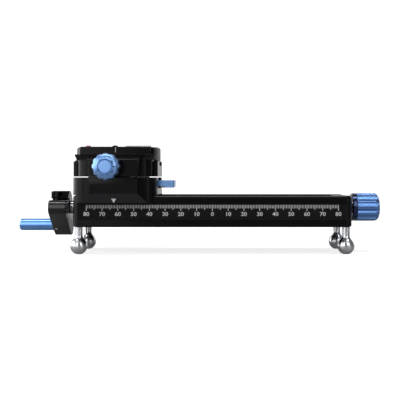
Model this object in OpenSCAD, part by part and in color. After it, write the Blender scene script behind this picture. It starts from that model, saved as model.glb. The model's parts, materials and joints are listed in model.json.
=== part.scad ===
// Macro focusing rail: a geared carriage on two guide rods, with a turning dovetail clamp.
// Millimetres. X runs along the rail, the scale faces -Y, and Z = 0 is the underside of the rail.

/* [Rail] */
// Length of the rail body
rail_l = 178; // [170:1:240]
// Width of the rail body
rail_w = 52; // [50:1:56]
// Height of the rail body
rail_h = 20; // [20:0.5:22]
// Corner radius of the rail, seen from above
rail_corner_r = 5; // [2:0.5:5]
// Chamfer along the rail's outer edges
rail_chamfer = 0.8; // [0.4:0.1:1.2]
// Width of the trough in the rail
trough_w = 36; // [35.5:0.5:38]
// Thickness of the floor under the trough
floor_t = 5.5; // [5:0.25:6]
// Length of each end block
end_block_l = 9; // [8:0.5:11]
// Depth of the scale pocket in each side of the rail
scale_pocket_d = 0.5; // [0.3:0.1:0.8]
// Height of the scale pocket
scale_pocket_h = 10; // [8:0.5:11]

/* [Guides and screw] */
// Diameter of the guide rods
rod_d = 6; // [5:0.5:6.5]
// Height of the guide rods above the underside
rod_z = 11.5; // [11:0.25:12]
// Diameter of the lead screw
screw_d = 8; // [7:0.5:8.5]
// Height of the lead screw above the underside
screw_z = 12; // [11.5:0.25:12.5]
// Outer diameter of the screw's ball bearings
bearing_d = 13; // [12.5:0.5:14]
// Width of the screw's ball bearings
bearing_w = 4; // [3:0.5:5]
// Radial play of a running fit
running_gap = 0.05; // [0.03:0.01:0.08]

/* [Feet] */
// Distance between the feet along the rail
foot_pitch_x = 171; // [150:1:171]
// Distance between the feet across the rail
foot_pitch_y = 41; // [39:0.5:42]
// Diameter of the ball of a foot
foot_ball_d = 11; // [9:0.5:12]
// Diameter of the neck of a foot
foot_neck_d = 5; // [4:0.5:6]
// Height of a foot below the rail
foot_h = 17.4; // [15:0.2:19]

/* [Carriage] */
// Length of the carriage along the rail
carriage_l = 54; // [50:1:60]
// Width of the carriage across the rail
carriage_w = 60; // [59:0.5:66]
// Height of the top of the lower block
saddle_top_z = 31.6; // [31.2:0.2:33]
// Height of the lower edge of the skirt
skirt_z = 15.3; // [14:0.1:17]
// Corner radius of the carriage, seen from above
carriage_corner_r = 10; // [6:0.5:12]
// Play between the carriage and the rail
saddle_gap = 0.4; // [0.3:0.05:0.6]
// Width of the raised front panel
panel_w = 30.6; // [26:0.2:34]
// How far the front panel stands out
panel_t = 4; // [2:0.2:5]
// Width of the front panel at the bottom of the skirt
panel_foot_w = 42.8; // [36:0.2:46]

/* [Quick shift lever] */
// Width of the lever across the rail
lever_w = 30; // [22:0.5:30]
// Thickness of the lever
lever_t = 3.7; // [3:0.1:4]
// How far the lever stands out of the carriage
lever_reach = 10.5; // [8:0.5:14]

/* [Clamp] */
// Gap between the lower block and the turning clamp
pan_gap = 0.6; // [0.4:0.1:1]
// Diameter of the bearing disc in that gap
pan_disc_d = 40.6; // [36:0.2:44]
// Diameter of the hub that the clamp turns on
pan_hub_d = 14; // [12:0.5:16]
// Height of the clamp base
clamp_base_h = 10.5; // [10:0.25:12]
// Diameter of the round clamp deck
deck_d = 55.2; // [52:0.2:57]
// Height of the clamp deck
deck_h = 8.7; // [8.2:0.1:10]
// Width between the lips of the dovetail channel
channel_w = 33; // [32:0.25:34]
// Depth of the dovetail channel
channel_depth = 6; // [5:0.1:6.5]
// Thickness of the walls that close the channel at both ends
end_wall_t = 2.2; // [1.6:0.1:3]
// Travel of the clamp jaw
jaw_travel = 4; // [2:0.5:5]

/* [Controls] */
// Diameter of the fluted knob at the end of the screw
end_knob_d = 18.4; // [16:0.2:22]
// Length of the fluted knob
end_knob_l = 18.2; // [16:0.2:26]
// Number of flutes on each knob
flutes = 12; // [8:1:14]
// Diameter of the clamp knob
clamp_knob_d = 16.5; // [14:0.25:16.5]
// Length of the clamp knob
clamp_knob_l = 12; // [8:0.5:16]
// Distance of the clamp knob from the middle of the carriage
clamp_knob_x = 3.2; // [0:0.1:6]
// Thickness of the crank arm
crank_t = 11.1; // [10:0.1:13]
// Radius of the crank's hub
crank_hub_r = 10.7; // [9:0.1:12]
// Diameter of the folding handle
handle_d = 8; // [7:0.25:8]
// Length of the folding handle
handle_l = 23.5; // [18:0.5:30]

/* [Hidden] */
$fn = 96;
eps = 0.01;
cut = 1;                      // how far a cutter runs past the surface it opens
face_gap = 0.1;               // play between flat faces that slide

// rail
rail_x = rail_l / 2;
rail_y = rail_w / 2;
trough_x = rail_x - end_block_l;
rod_pitch = trough_w - 12;
foot_x = foot_pitch_x / 2;
foot_y = foot_pitch_y / 2;
stud_d = 4;
stud_l = 8;
socket_r = 4;                 // core radius of the large tripod socket
small_socket_r = 2.55;        // core radius of the small tripod sockets
small_socket_x = 30;
block_gap = 0.05;             // the end blocks are a close fit in the trough
block_h = rail_h - floor_t - 0.3;
block_screw_d = 4;
block_screw_y = 13;
pocket_z = (rail_h - scale_pocket_h) / 2;
pocket_x = rail_x - 4;

bearing_out_x = rail_x - 0.5; // outer face of each bearing, just inside the end block's face
knob_start_x = rail_x + 3;

// carriage, drawn at its left stop, flush with the end of the rail
car_x = -(rail_x - carriage_l / 2);
car_y = carriage_w / 2;
stop_gap = 0.5;               // between the slide and an end block when the carriage is at its stop
slide_l = carriage_l - 2 * (end_block_l + stop_gap);
saddle_roof_z = rail_h + saddle_gap;
slide_bottom_z = floor_t + 0.7;
slide_y = trough_w / 2 - 0.6;
bush_d = rod_d + 2.2;
bush_l = 11;
nut_l = 16;
nut_w = 12;
nut_top_z = 23.6;
hook_z = 26.8;                // underside of the hook that the lever lifts the half nut by
hook_t = 0.9;
panel_y = car_y + panel_t;
panel_crease_z = skirt_z + 6.2;

// lever
lever_root_z = 26.05;
lever_pin_x = car_x + carriage_l / 2 - 9;
lever_pin_z = lever_root_z + lever_t / 2;
lever_pin_d = 3;
lever_plug_l = 6;             // the thicker end of the pin, pressed into the block on each side
lever_spring_d = 3;
lever_end_x = car_x + carriage_l / 2 + lever_reach;
notch_z = lever_root_z - 1.5;
notch_y = lever_w / 2 + 1;
lever_arm_x = car_x - 1.5;
lever_arm_z = hook_z - 2;
lever_arm_t = 1.8;

// clamp
clamp_z = saddle_top_z + pan_gap;
base_top_z = clamp_z + clamp_base_h;
deck_top_z = base_top_z + deck_h;
channel_floor_z = deck_top_z - channel_depth;
lip_y = channel_w / 2;
lip_edge_h = 1;
jaw_back_y = lip_y - 2.5;
jaw_front_y = car_y - 2;
jaw_x = carriage_l / 2 - 2.7;
jaw_corner_r = 9;
cheek_gap = 0.2;              // between the jaw and the cheek of the base on each side
cheek_drop = 0.8;             // the cheeks end below the wings of the jaw
jaw_lip_x = sqrt(pow(deck_d / 2, 2) - pow(lip_y, 2)) + 0.3;
jaw_lip_h = 5;
jaw_lip_y = lip_y + 4;
button_d = 3.2;
grip_ribs = 13;
grip_pitch = 1.27;
grip_slot = 0.65;
grip_h = 1.9;
hub_plug_d = 34;
hub_plug_h = 1.8;
hub_h = 2.6;
retainer_d = pan_hub_d + 4.4;
retainer_h = 1.2;
pan_screw_d = 4;
hub_screw_d = 2.5;
hub_screw_l = 6;
deck_screw_d = 3;
deck_screw_l = 7.5;
knob_x = car_x - clamp_knob_x;
knob_z = clamp_z + 6.1;
knob_back_y = panel_y + 4.5;
clamp_screw_d = 5;
clamp_screw_in = 9;           // how far the screw reaches into the base
guide_pin_d = 4;
guide_pin_in = 9;             // how far each pin is pressed into the base
guide_pin_out = 8.5;          // and how far it reaches into the jaw
jaw_spring_l = 4;
guide_pin_x = 17;
guide_pin_z = clamp_z + 5.5;

// crank, in the plane of the arm measured from the shaft
shaft_d = 6;
collar_d = 8.7;
crank_in_x = rail_x + 5.4;
crank_out_x = crank_in_x + crank_t;
flank_a = 33;                 // lean of the flat flank of the arm
boss_p = [8, -12];
boss_r = 7;
nose_p = [-15.5, 0];
nose_r = 4.9;
fold_u = 6.2;                 // from the handle's axis to its hinge pin, along the flank
fold_out = 2;                 // from the hinge pin to the outer face of the arm
fold_x = crank_out_x - fold_out;
pin_d = 1.9;
pin_l = 13;
crank_screw_d = 2.5;
crank_screw_l = 10;
tongue_t = 4;
eye_r = 2.4;
tongue_x = 0.6;               // middle of the tongue's round end, from the hinge pin
axle_d = 4;
grip_gap = 0.7;

// ---------- helpers ----------

// lays a shape that stands on Z = 0 along +X
module along_x() {
    rotate([0, 90, 0]) children();
}

// lays a shape that stands on Z = 0 along -Y
module along_front() {
    rotate([90, 0, 0]) children();
}

// a flat plate with rounded corners, centred on the origin
module rounded_rect(l, w, r) {
    for (sx = [-1, 1], sy = [-1, 1]) {
        translate([sx * (l / 2 - r), sy * (w / 2 - r)]) circle(r);
    }
    square([l - 2 * r, w], center = true);
    square([l, w - 2 * r], center = true);
}

// two circles and the straight flanks that join them; the flanks start a hair inside the
// circles, so that they cross them cleanly
module link(p, rp, q, rq) {
    hair = 0.997;
    dir = atan2(q[1] - p[1], q[0] - p[0]);
    a = acos((rp - rq) / norm(q - p));
    translate(p) circle(rp);
    translate(q) circle(rq);
    polygon([
        p + hair * rp * [cos(dir - a), sin(dir - a)],
        q + hair * rq * [cos(dir - a), sin(dir - a)],
        q + hair * rq * [cos(dir + a), sin(dir + a)],
        p + hair * rp * [cos(dir + a), sin(dir + a)]
    ]);
}

// a rectangle standing on the first axis, with its four corners cut off
module bevelled_outline(l, h, c) {
    polygon([
        [-l / 2 + c, 0], [l / 2 - c, 0], [l / 2, c], [l / 2, h - c],
        [l / 2 - c, h], [-l / 2 + c, h], [-l / 2, h - c], [-l / 2, c]
    ]);
}

// a block with rounded upright corners and chamfered top and bottom edges
module chamfered_block(l, w, h, r, c) {
    for (sx = [-1, 1], sy = [-1, 1]) {
        translate([sx * (l / 2 - r), sy * (w / 2 - r), 0]) chamfered_bar(2 * r, h, c, c);
    }
    translate([0, w / 2 - r, 0]) along_front() linear_extrude(w - 2 * r) bevelled_outline(l, h, c);
    translate([r - l / 2, 0, 0]) rotate([90, 0, 90]) linear_extrude(l - 2 * r) bevelled_outline(w, h, c);
}

// a round bar with a chamfer at each end, standing on Z = 0
module chamfered_bar(d, h, c_low, c_high) {
    rotate_extrude() polygon([
        [0, 0], [d / 2 - c_low, 0], [d / 2, c_low],
        [d / 2, h - c_high], [d / 2 - c_high, h], [0, h]
    ]);
}

// a socket cap screw, its seat at Z = 0 and its shank pointing down
module cap_screw(d, l, head_d, head_h) {
    difference() {
        union() {
            chamfered_bar(head_d, head_h, 0, 0.3);
            translate([0, 0, -l]) cylinder(d = d, h = l + eps);
        }
        translate([0, 0, head_h * 0.45]) cylinder(d = d * 0.9, h = head_h, $fn = 6);
    }
}

// a countersunk screw, its flat head at Z = 0 and its shank pointing down
module flat_screw(d, l) {
    difference() {
        union() {
            translate([0, 0, -d / 2]) cylinder(d1 = d, d2 = 2 * d, h = d / 2);
            translate([0, 0, -l]) cylinder(d = d, h = l - d / 2 + eps);
        }
        translate([0, 0, -d * 0.4]) cylinder(d = d * 0.75, h = d, $fn = 6);
    }
}

// the hole that a countersunk screw sits in
module flat_screw_hole(d, l) {
    translate([0, 0, -d / 2]) cylinder(d1 = d, d2 = 2 * d, h = d / 2);
    translate([0, 0, -eps]) cylinder(d = 2 * d, h = cut);
    translate([0, 0, -l]) cylinder(d = d, h = l);
}

// hollows round a knob's edge, standing on Z = 0
module flute_cutters(d, depth, width_r, h) {
    for (i = [0 : flutes - 1]) {
        rotate([0, 0, (i + 0.5) * 360 / flutes])
            translate([d / 2 + width_r - depth, 0, 0])
                cylinder(r = width_r, h = h, $fn = 32);
    }
}

// a coil of round wire as stacked rings would look, kept as one plain sleeve
module spring_sleeve(outer_d, inner_d, h) {
    difference() {
        cylinder(d = outer_d, h = h);
        translate([0, 0, -cut]) cylinder(d = inner_d, h = h + 2 * cut);
    }
}

// ---------- rail ----------

// the shallow pocket of the scale in the front face, with ramped ends
module scale_pocket() {
    translate([0, -rail_y, pocket_z]) linear_extrude(scale_pocket_h) polygon([
        [-pocket_x, scale_pocket_d], [pocket_x, scale_pocket_d],
        [pocket_x + 1.5, 0], [pocket_x + 1.5, -cut], [-pocket_x - 1.5, -cut], [-pocket_x - 1.5, 0]
    ]);
}

module rail_channel() {
    color("#1b1b1e") difference() {
        chamfered_block(rail_l, rail_w, rail_h, rail_corner_r, rail_chamfer);
        translate([-rail_x - cut, -trough_w / 2, floor_t])
            cube([rail_l + 2 * cut, trough_w, rail_h]);
        scale_pocket();
        rotate([0, 0, 180]) scale_pocket();
        for (sx = [-1, 1], sy = [-1, 1]) {
            translate([sx * foot_x, sy * foot_y, -cut]) cylinder(d = stud_d, h = stud_l + cut + 0.5);
        }
        for (sx = [-1, 1], sy = [-1, 1]) {
            translate([sx * (trough_x + end_block_l / 2), sy * block_screw_y, 0])
                rotate([180, 0, 0]) flat_screw_hole(block_screw_d, floor_t + cut);
        }
        translate([0, 0, -cut]) cylinder(r = socket_r, h = floor_t + 2 * cut);
        for (sx = [-1, 1]) {
            translate([sx * small_socket_x, 0, -cut]) cylinder(r = small_socket_r, h = floor_t + 2 * cut);
        }
    }
}

// an end block drawn at the right end, with the bearing pocket on its outer face
module end_block() {
    difference() {
        translate([trough_x, -trough_w / 2 + block_gap, floor_t])
            cube([end_block_l, trough_w - 2 * block_gap, block_h]);
        translate([trough_x - cut, 0, screw_z]) along_x() cylinder(d = screw_d + 1, h = end_block_l + 2 * cut);
        translate([bearing_out_x - bearing_w, 0, screw_z]) along_x() cylinder(d = bearing_d, h = bearing_w + 2 * cut);
        for (sy = [-1, 1]) {
            translate([trough_x - cut, sy * rod_pitch / 2, rod_z])
                along_x() cylinder(d = rod_d, h = end_block_l - 2 + cut);
            translate([trough_x + end_block_l / 2, sy * block_screw_y, floor_t - cut])
                cylinder(d = block_screw_d, h = 2.5 + cut);
        }
    }
}

module left_end_block() {
    color("#222226") mirror([1, 0, 0]) end_block();
}

module right_end_block() {
    color("#222226") end_block();
}

module guide_rod() {
    half_l = trough_x + end_block_l - 2.2;
    translate([-half_l, 0, 0]) along_x() chamfered_bar(rod_d, 2 * half_l, 0.5, 0.5);
}

module front_guide_rod() {
    color("#c9ccd0") translate([0, -rod_pitch / 2, rod_z]) guide_rod();
}

module rear_guide_rod() {
    color("#c9ccd0") translate([0, rod_pitch / 2, rod_z]) guide_rod();
}

// two races and a shield between them
module bearing() {
    difference() {
        along_x() chamfered_bar(bearing_d, bearing_w, 0.3, 0.3);
        translate([-cut, 0, 0]) along_x() cylinder(d = screw_d + 2 * running_gap, h = bearing_w + 2 * cut);
        for (x = [-cut, bearing_w - 0.35]) {
            translate([x, 0, 0]) along_x() difference() {
                cylinder(d = bearing_d - 2, h = cut + 0.35);
                translate([0, 0, -cut]) cylinder(d = screw_d + 1.6, h = 3 * cut);
            }
        }
    }
}

module left_bearing() {
    color("#b9bcc0") translate([-bearing_out_x, 0, screw_z]) bearing();
}

module right_bearing() {
    color("#b9bcc0") translate([bearing_out_x - bearing_w, 0, screw_z]) bearing();
}

module end_block_screws() {
    color("#8d9095") for (sx = [-1, 1], sy = [-1, 1]) {
        translate([sx * (trough_x + end_block_l / 2), sy * block_screw_y, 0])
            rotate([180, 0, 0]) flat_screw(block_screw_d, floor_t + 2.3);
    }
}

// ---------- feet ----------

module foot() {
    ball_r = foot_ball_d / 2;
    neck_r = foot_neck_d / 2;
    ball_z = -foot_h + ball_r - 0.25;
    fillet_r = 4;
    fillet_x = neck_r + fillet_r;
    fillet_z = ball_z + sqrt(pow(ball_r + fillet_r, 2) - pow(fillet_x, 2));
    touch = ball_r / (ball_r + fillet_r);
    rotate_extrude() {
        difference() {
            translate([0, ball_z]) circle(ball_r);
            translate([-2 * ball_r, -2 * ball_r]) square([2 * ball_r, 3 * ball_r]);
            translate([-ball_r - 1, -foot_h - 2 * ball_r]) square([3 * ball_r, 2 * ball_r]);
            translate([-2 * ball_r, ball_z - 2 * ball_r]) square([2 * ball_r, 4 * ball_r]);
        }
        square_bottom = ball_z + touch * (fillet_z - ball_z);
        difference() {
            translate([0, square_bottom]) square([touch * fillet_x, fillet_z - square_bottom]);
            translate([fillet_x, fillet_z]) circle(fillet_r);
        }
        translate([0, fillet_z - eps]) square([neck_r, -fillet_z + eps]);
        square([stud_d / 2, stud_l]);
    }
}

module foot_at(sx, sy) {
    color("#d5d7da") translate([sx * foot_x, sy * foot_y, 0]) foot();
}

module front_left_foot() {
    foot_at(-1, -1);
}

module front_right_foot() {
    foot_at(1, -1);
}

module rear_left_foot() {
    foot_at(-1, 1);
}

module rear_right_foot() {
    foot_at(1, 1);
}

// ---------- lead screw and its controls ----------

module lead_screw() {
    shaft_left = crank_out_x - 3.4;
    shaft_right = knob_start_x + end_knob_l - 7;
    color("#c4c6c9") translate([0, 0, screw_z]) {
        translate([-bearing_out_x, 0, 0]) along_x() cylinder(d = screw_d, h = 2 * bearing_out_x);
        translate([-shaft_left, 0, 0]) along_x() chamfered_bar(shaft_d, shaft_left, 0.5, 0);
        along_x() chamfered_bar(shaft_d, shaft_right, 0, 0.5);
    }
}

module shaft_collar(l) {
    difference() {
        along_x() chamfered_bar(collar_d, l, 0.3, 0.3);
        translate([-cut, 0, 0]) along_x() cylinder(d = shaft_d, h = l + 2 * cut);
    }
}

module left_collar() {
    color("#26262a") translate([-crank_in_x, 0, screw_z]) shaft_collar(crank_in_x - bearing_out_x - face_gap);
}

module right_collar() {
    color("#26262a") translate([bearing_out_x + face_gap, 0, screw_z])
        shaft_collar(knob_start_x - bearing_out_x - face_gap);
}

module end_knob() {
    rim_l = 3.3;
    depth = 0.9;
    end_r = 3.2;
    color("#3f6fb4") translate([knob_start_x, 0, screw_z]) along_x() difference() {
        union() {
            chamfered_bar(end_knob_d, rim_l, 0.5, 0.6);
            rotate_extrude() {
                polygon([
                    [0, 0], [end_knob_d / 2 - 3, 0], [end_knob_d / 2, 3],
                    [end_knob_d / 2, end_knob_l - end_r], [end_knob_d / 2 - end_r, end_knob_l], [0, end_knob_l]
                ]);
                translate([end_knob_d / 2 - end_r, end_knob_l - end_r]) circle(end_r);
            }
        }
        translate([0, 0, rim_l]) flute_cutters(end_knob_d, depth, 1.5, end_knob_l);
        translate([0, 0, -cut]) cylinder(d = shaft_d, h = end_knob_l - 6 + cut);
        translate([0, 0, end_knob_l - 0.6]) cylinder(d = end_knob_d - 8, h = cut);
        translate([0, 0, rim_l / 2]) rotate([-90, 0, 0]) cylinder(d = 2.4, h = end_knob_d);
    }
}

module end_knob_set_screw() {
    color("#2a2a2d") translate([knob_start_x + 1.65, 0, screw_z]) rotate([-90, 0, 0]) difference() {
        translate([0, 0, shaft_d / 2]) cylinder(d = 2.4, h = 5.2);
        translate([0, 0, shaft_d / 2 + 4.2]) cylinder(d = 1.3, h = 2, $fn = 6);
    }
}

// ---------- crank and folding handle ----------

// the plane of the arm: first axis +Y, second axis +Z, thickness towards -X from the inner face
module in_arm_plane(depth_from, depth) {
    translate([-depth_from, 0, screw_z]) rotate([90, 0, -90]) mirror([1, 0, 0]) linear_extrude(depth) children();
}

module crank_profile() {
    link([0, 0], crank_hub_r, boss_p, boss_r);
    link(boss_p, boss_r, nose_p, nose_r);
    translate([nose_p[0], nose_p[1] - 0.9 * nose_r]) square([-nose_p[0], 1.9 * nose_r]);
}

// the saw cut that lets the hub close on the shaft, from the step of the nose to the bore
module clamp_slit() {
    t = 1;
    polygon([
        [-crank_hub_r - 6, nose_r], [-crank_hub_r - 6, nose_r + t], [-4.2, nose_r + t],
        [-0.6, 1.4], [-1.9, 0.9], [-4.8, nose_r]
    ]);
}

module crank_arm() {
    color("#1d1d20") difference() {
        in_arm_plane(crank_in_x, crank_t) difference() {
            crank_profile();
            clamp_slit();
        }
        translate([-crank_out_x - cut, 0, screw_z]) along_x() cylinder(d = shaft_d, h = crank_t + 2 * cut);
        handle_slot();
        handle_pin_place() translate([0, 0, -cut]) cylinder(d = pin_d, h = pin_l + cut);
        crank_screw_place() {
            translate([0, 0, -crank_screw_l]) cylinder(d = crank_screw_d, h = crank_screw_l + cut);
            cylinder(d = 6, h = crank_hub_r);
        }
    }
}

// a frame on the handle's axis at the hinge depth: X away from the rail, Y along the flank
// towards the nose, Z square to the flank and towards the back; moved u along the flank
module at_flank(u, out) {
    translate([-fold_x - out, boss_p[0], screw_z + boss_p[1]])
        multmatrix([
            [-1, 0, 0, 0],
            [0, -cos(flank_a), sin(flank_a), 0],
            [0, sin(flank_a), cos(flank_a), 0],
            [0, 0, 0, 1]
        ])
            translate([0, u, 0]) children();
}

module tongue_outline(grow) {
    link([0, fold_u], eye_r + grow, [tongue_x, 0], axle_d / 2 + 0.2 + grow);
}

module handle_slot() {
    play = 0.3;
    slot_t = tongue_t + 2 * face_gap;
    at_flank(0, 0) translate([0, 0, -slot_t / 2]) linear_extrude(slot_t) {
        tongue_outline(play);
        translate([0, -3]) square([5, fold_u + 7.4]);
    }
}

module crank_screw_place() {
    translate([-crank_out_x + 3.7, -6.2, screw_z + nose_r + 1.7]) children();
}

module crank_clamp_screw() {
    color("#2c2c30") crank_screw_place() cap_screw(crank_screw_d, crank_screw_l, 5.5, 4);
}

module handle_pin_place() {
    at_flank(fold_u, 0) translate([0, 0, -boss_r]) children();
}

module handle_pin() {
    color("#c9ccd0") handle_pin_place() cylinder(d = pin_d, h = pin_l);
}

module handle_hinge() {
    head_t = 0.9;
    axle_end = fold_out + grip_gap + handle_l - 1.2;
    color("#2c2c30") difference() {
        union() {
            at_flank(0, 0) translate([0, 0, -tongue_t / 2]) linear_extrude(tongue_t) tongue_outline(0);
            at_flank(0, 0) translate([tongue_x, 0, 0]) rotate([0, 90, 0]) cylinder(d = axle_d, h = axle_end - tongue_x);
            at_flank(0, 0) translate([axle_end, 0, 0]) rotate([0, 90, 0]) cylinder(d = 5.6, h = head_t);
        }
        at_flank(fold_u, 0) cylinder(d = pin_d + 2 * running_gap, h = 2 * tongue_t, center = true);
    }
}

module handle_grip() {
    color("#4f8acb") at_flank(0, 0) translate([fold_out + grip_gap, 0, 0]) rotate([0, 90, 0]) difference() {
        chamfered_bar(handle_d, handle_l, 0.6, 1.3);
        translate([0, 0, -cut]) cylinder(d = axle_d + 2 * running_gap, h = handle_l + 2 * cut);
        translate([0, 0, -cut]) cylinder(d = 6.6, h = cut + 1.5);
        translate([0, 0, handle_l - 1.4]) cylinder(d = 5.8, h = 3);
    }
}

// ---------- carriage ----------

module panel_outline(low_z, high_z) {
    polygon([
        [-panel_foot_w / 2, low_z], [panel_foot_w / 2, low_z],
        [panel_w / 2, panel_crease_z], [panel_w / 2, high_z],
        [-panel_w / 2, high_z], [-panel_w / 2, panel_crease_z]
    ]);
}

// the outline that the carriage's two blocks share: large corners in front, small ones behind
module carriage_block(h) {
    edge = 0.25;
    rear_r = 3;
    chamfered_block(carriage_l, carriage_w, h, carriage_corner_r, edge);
    translate([0, carriage_w / 4, 0]) chamfered_block(carriage_l, carriage_w / 2, h, rear_r, edge);
}

module carriage_saddle() {
    body_h = saddle_top_z - skirt_z;
    color("#1b1b1e") difference() {
        translate([car_x, 0, 0]) union() {
            translate([0, 0, skirt_z]) carriage_block(body_h);
            difference() {
                translate([0, -car_y + eps, 0]) along_front() linear_extrude(panel_t + eps)
                    panel_outline(skirt_z + 0.2, saddle_top_z);
                translate([0, -panel_y, panel_crease_z]) rotate([14, 0, 0])
                    translate([-carriage_l / 2, -2 * panel_t, -2 * body_h]) cube([carriage_l, 2 * panel_t, 2 * body_h]);
            }
            translate([-slide_l / 2, -slide_y, slide_bottom_z])
                cube([slide_l, 2 * slide_y, saddle_top_z - slide_bottom_z - 4]);
        }
        rail_clearance();
        slide_bores();
        lever_cavity();
        translate([car_x, 0, saddle_top_z - hub_plug_h]) cylinder(d = hub_plug_d + face_gap, h = hub_plug_h + cut);
        pan_screw_places() translate([0, 0, -hub_screw_l - 1]) cylinder(d = hub_screw_d, h = hub_screw_l + 2);
    }
}

// the space that the rail passes through, on both sides of the slide
module rail_clearance() {
    l = carriage_l + 2 * cut;
    for (s = [-1, 1]) {
        translate([car_x - l / 2, s > 0 ? slide_y : -rail_y - saddle_gap, skirt_z - cut])
            cube([l, rail_y + saddle_gap - slide_y, saddle_roof_z - skirt_z + cut]);
    }
    for (s = [-1, 1]) {
        translate([car_x + (s > 0 ? slide_l / 2 : -l / 2), -rail_y, skirt_z - cut])
            cube([(l - slide_l) / 2, rail_w, saddle_roof_z - skirt_z + cut]);
    }
}

module slide_bores() {
    translate([car_x - slide_l, 0, screw_z]) along_x() cylinder(d = screw_d + 2, h = 2 * slide_l);
    for (sy = [-1, 1]) {
        translate([car_x - slide_l, sy * rod_pitch / 2, rod_z]) along_x() cylinder(d = rod_d + 0.8, h = 2 * slide_l);
        for (sx = [-1, 1]) {
            translate([car_x + sx * (slide_l / 2 - bush_l / 2) - bush_l / 2 - (sx < 0 ? cut : 0), sy * rod_pitch / 2, rod_z])
                along_x() cylinder(d = bush_d, h = bush_l + cut);
        }
    }
}

// the pocket of the half nut and the slot that the lever swings in
module lever_cavity() {
    nut_play = face_gap;
    top = saddle_top_z - hub_plug_h + eps;
    translate([car_x - nut_l / 2 - nut_play, -nut_w / 2 - nut_play, screw_z])
        cube([nut_l + 2 * nut_play, nut_w + 2 * nut_play, top - screw_z]);
    translate([lever_arm_x - 1.5, -nut_w / 2 - nut_play, notch_z - 0.6])
        cube([lever_pin_x - lever_arm_x + 6, nut_w + 2 * nut_play, top - notch_z + 0.6]);
    translate([lever_pin_x - 4.5, -notch_y, notch_z])
        cube([carriage_l, 2 * notch_y, saddle_top_z - notch_z + cut]);
    translate([lever_pin_x, 0, lever_pin_z]) rotate([90, 0, 0])
        cylinder(d = lever_pin_d, h = 2 * (notch_y + lever_plug_l), center = true);
    lever_spring_places() cylinder(d = lever_spring_d + 0.4, h = lever_spring_d + cut);
}

module rod_bushes(sy) {
    for (sx = [-1, 1]) {
        translate([car_x + sx * (slide_l / 2 - bush_l / 2) - bush_l / 2, sy * rod_pitch / 2, rod_z])
            along_x() difference() {
                cylinder(d = bush_d, h = bush_l);
                translate([0, 0, -cut]) cylinder(d = rod_d + 2 * running_gap, h = bush_l + 2 * cut);
            }
    }
}

module front_rod_bushes() {
    color("#b08a4e") rod_bushes(-1);
}

module rear_rod_bushes() {
    color("#b08a4e") rod_bushes(1);
}

module half_nut() {
    bottom_z = screw_z + 0.4;
    color("#b08a4e") difference() {
        translate([car_x - nut_l / 2, -nut_w / 2, bottom_z])
            cube([nut_l, nut_w, hook_z + hook_t - bottom_z]);
        translate([car_x - nut_l, 0, screw_z]) along_x() cylinder(d = screw_d + 2 * running_gap, h = 2 * nut_l);
        translate([lever_arm_x - 2, -nut_w, nut_top_z]) cube([nut_l, 2 * nut_w, hook_z - nut_top_z]);
        translate([lever_arm_x + 3, -nut_w, nut_top_z]) cube([nut_l, 2 * nut_w, 10]);
    }
}

module quick_lever() {
    root_l = lever_end_x - lever_pin_x;
    color("#3f6fb4") difference() {
        union() {
            translate([lever_pin_x + 0.5, 0, lever_root_z]) linear_extrude(lever_t)
                translate([root_l / 2, 0]) rounded_rect(root_l - 1, lever_w, 2.5);
            translate([lever_end_x - 8.3, 0, lever_root_z - 1.05]) linear_extrude(lever_t)
                translate([4, 0]) rounded_rect(8, lever_w, 2.5);
            translate([lever_pin_x, 0, lever_pin_z]) rotate([90, 0, 0])
                cylinder(d = lever_t, h = lever_w, center = true);
            translate([lever_arm_x, -nut_w / 2 + 0.4, lever_arm_z])
                cube([lever_pin_x - lever_arm_x + 1, nut_w - 0.8, lever_arm_t]);
            translate([lever_pin_x - 1, -nut_w / 2 + 0.4, lever_arm_z])
                cube([2, nut_w - 0.8, lever_pin_z - lever_arm_z]);
        }
        translate([lever_pin_x, 0, lever_pin_z]) rotate([90, 0, 0])
            cylinder(d = lever_pin_d - 1 + 2 * running_gap, h = 2 * lever_w, center = true);
    }
}

module lever_pin() {
    color("#c9ccd0") translate([lever_pin_x, 0, lever_pin_z]) rotate([90, 0, 0]) {
        cylinder(d = lever_pin_d - 1, h = 2 * notch_y + 2, center = true);
        for (s = [-1, 1]) {
            translate([0, 0, s * (notch_y + lever_plug_l / 2)]) cylinder(d = lever_pin_d, h = lever_plug_l, center = true);
        }
    }
}

module lever_spring_places() {
    for (sy = [-1, 1]) {
        translate([lever_pin_x + 1.5 * lever_pin_d, sy * 0.3 * lever_w, notch_z - 2.2]) children();
    }
}

module lever_springs() {
    color("#a9acb0") lever_spring_places() spring_sleeve(lever_spring_d, 0.6 * lever_spring_d, lever_spring_d);
}

// ---------- turning clamp ----------

module pan_screw_places() {
    for (a = [45 : 90 : 315]) {
        translate([car_x, 0, saddle_top_z]) rotate([0, 0, a]) translate([14, 0, 0]) children();
    }
}

module pan_hub() {
    color("#55585d") difference() {
        translate([car_x, 0, 0]) union() {
            translate([0, 0, saddle_top_z - hub_plug_h]) cylinder(d = hub_plug_d, h = hub_plug_h + eps);
            translate([0, 0, saddle_top_z]) cylinder(d = pan_disc_d, h = pan_gap - 2 * face_gap);
            translate([0, 0, saddle_top_z]) cylinder(d = pan_hub_d, h = hub_h);
        }
        translate([car_x, 0, saddle_top_z + hub_h + retainer_h]) flat_screw_hole(pan_screw_d, hub_h + hub_plug_h + 2 * cut);
        pan_screw_places() translate([0, 0, pan_gap - 2 * face_gap]) flat_screw_hole(hub_screw_d, 4);
    }
}

module pan_hub_screws() {
    color("#8d9095") pan_screw_places() translate([0, 0, pan_gap - 2 * face_gap]) flat_screw(hub_screw_d, hub_screw_l);
}

module pan_retainer() {
    color("#b9bcc0") translate([car_x, 0, saddle_top_z + hub_h]) difference() {
        cylinder(d = retainer_d, h = retainer_h);
        translate([0, 0, retainer_h]) flat_screw_hole(pan_screw_d, retainer_h + cut);
    }
}

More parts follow.
